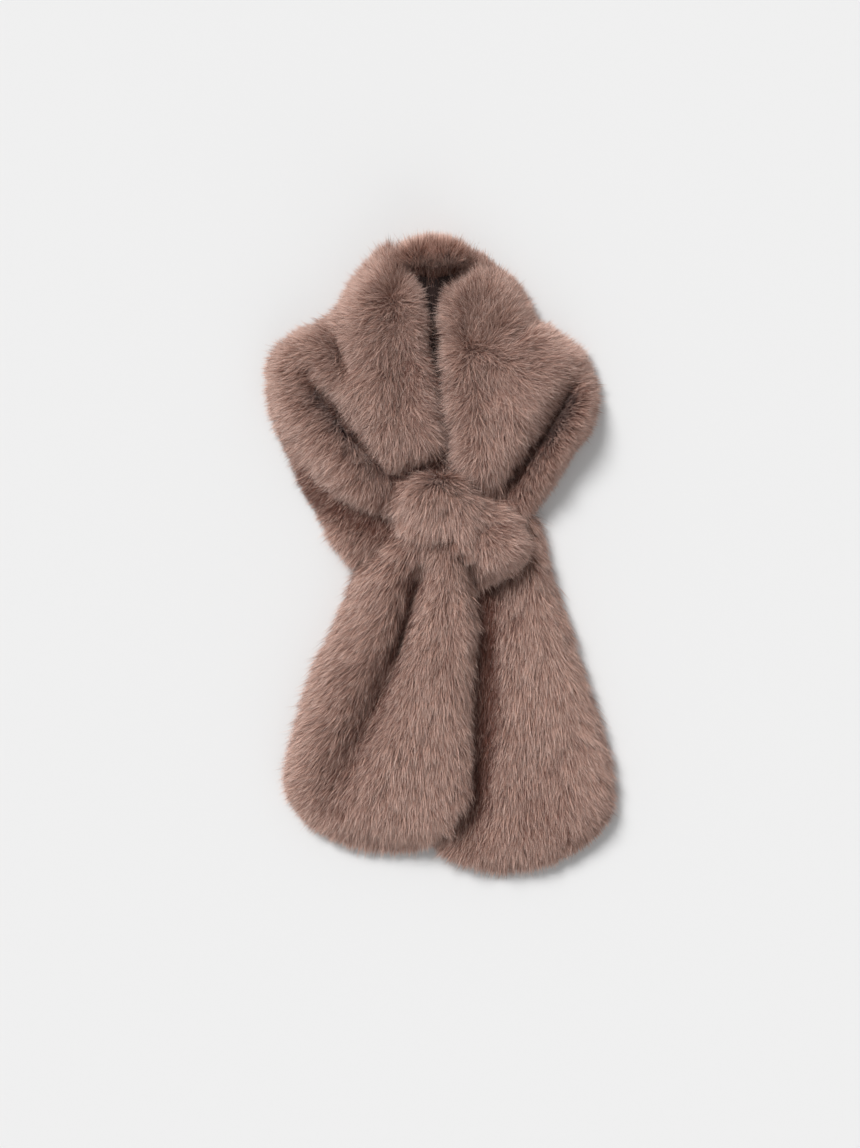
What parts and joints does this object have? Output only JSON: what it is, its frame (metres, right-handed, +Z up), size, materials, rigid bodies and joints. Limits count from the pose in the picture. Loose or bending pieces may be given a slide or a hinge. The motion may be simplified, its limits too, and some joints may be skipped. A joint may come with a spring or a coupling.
{
  "type": "fur collar wrap",
  "caption": "Long-pile faux fur neck wrap laid flat: two fronts drawn through a gathered keeper loop, with two rounded tails below it.",
  "frame": {"origin": "middle of the footprint, on the surface that the wrap lies on", "axes": "+Z up from that surface, +Y towards the neck end, tails towards -Y, +X to the right as it is seen from above"},
  "size_m": [0.314, 0.569, 0.0566],
  "materials": {
    "faux_fur": "long dense taupe-brown faux mink pile, 20 to 25 mm, combed, with darker roots and paler tips",
    "satin_lining": "smooth dark taupe polyester satin lining"
  },
  "bodies": {
    "root": {"neck_back": "faux_fur", "neck_lining": "satin_lining", "front_left": "faux_fur", "front_right": "faux_fur", "tail_under": "faux_fur", "tail_front": "faux_fur", "keeper_loop": "faux_fur"}
  },
  "joints": []
}
